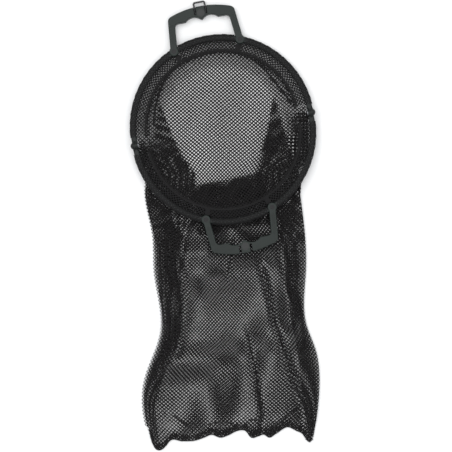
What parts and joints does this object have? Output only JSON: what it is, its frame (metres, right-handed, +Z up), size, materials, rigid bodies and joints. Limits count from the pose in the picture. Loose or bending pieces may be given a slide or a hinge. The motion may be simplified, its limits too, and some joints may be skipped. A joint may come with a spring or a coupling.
{
  "type": "mesh catch bag",
  "caption": "Mesh catch bag laid flat: a hoop that folds in half, a moulded grip on each half, a bail latch, net sleeves and a long net pouch with a sewn hem.",
  "frame": {"origin": "on the surface that the bag lies on, straight below the middle of the hinge line of the hoop", "axes": "+X along the hoop's hinge line, +Y from the hinge line to the rear grip and its latch, +Z up off the surface"},
  "size_m": [0.3655, 0.7398, 0.0248],
  "materials": {
    "hoop_plastic": "moulded, satin",
    "grip_plastic": "moulded, dark green-grey, satin",
    "cap_plastic": "moulded, dark",
    "bail_wire": "black coated wire",
    "black_pin": "black coated",
    "washer_steel": "plain",
    "sleeve_net": "black knotless net, two layers",
    "seam_tape": "black woven tape",
    "bag_net": "black knotless diamond net",
    "hem_net": "black net, rolled and stitched"
  },
  "bodies": {
    "rear_frame": {"rear_hoop": "hoop_plastic", "rear_handle": "grip_plastic", "left_hinge_pin": "black_pin", "right_hinge_pin": "black_pin", "left_hinge_washer": "washer_steel", "right_hinge_washer": "washer_steel", "rear_handle_rivets": "black_pin", "rear_grip_cap": "cap_plastic", "rear_sleeve": "sleeve_net", "rear_seam_tape": "seam_tape", "rear_left_binding": "seam_tape", "rear_right_binding": "seam_tape", "back_net": "bag_net", "front_net": "bag_net", "left_gusset": "bag_net", "right_gusset": "bag_net", "bottom_hem": "hem_net"},
    "front_frame": {"front_hoop": "hoop_plastic", "front_handle": "grip_plastic", "front_handle_rivets": "black_pin", "front_grip_cap": "cap_plastic", "front_sleeve": "sleeve_net", "front_seam_tape": "seam_tape", "front_left_binding": "seam_tape", "front_right_binding": "seam_tape", "front_lip_net": "bag_net"},
    "latch": {"latch_bail": "bail_wire"},
    "throat_upper": {"throat_upper_net": "bag_net"},
    "throat_lower": {"throat_lower_net": "bag_net"}
  },
  "joints": [
    {"name": "hoop_fold", "type": "hinge", "parent": "rear_frame", "child": "front_frame", "pos_m": [0, 0.0002, 0.01872], "axis": [-1, 0, 0], "range_deg": [0, 180]},
    {"name": "latch_swing", "type": "hinge", "parent": "rear_frame", "child": "latch", "pos_m": [0, 0.1933, 0.00635], "axis": [1, 0, 0], "range_deg": [0, 92]},
    {"name": "throat_upper_fold", "type": "hinge", "parent": "front_frame", "child": "throat_upper", "pos_m": [0, -0.081, 0.01382], "axis": [-1, 0, 0], "range_deg": [-180, 0]},
    {"name": "throat_lower_fold", "type": "hinge", "parent": "rear_frame", "child": "throat_lower", "pos_m": [0, -0.081, 0.0101], "axis": [-1, 0, 0], "range_deg": [0, 180]}
  ],
  "couplings": [
    {"joint": "throat_upper_fold", "follows": "hoop_fold", "ratio": -1},
    {"joint": "throat_lower_fold", "follows": "hoop_fold", "ratio": 1}
  ]
}
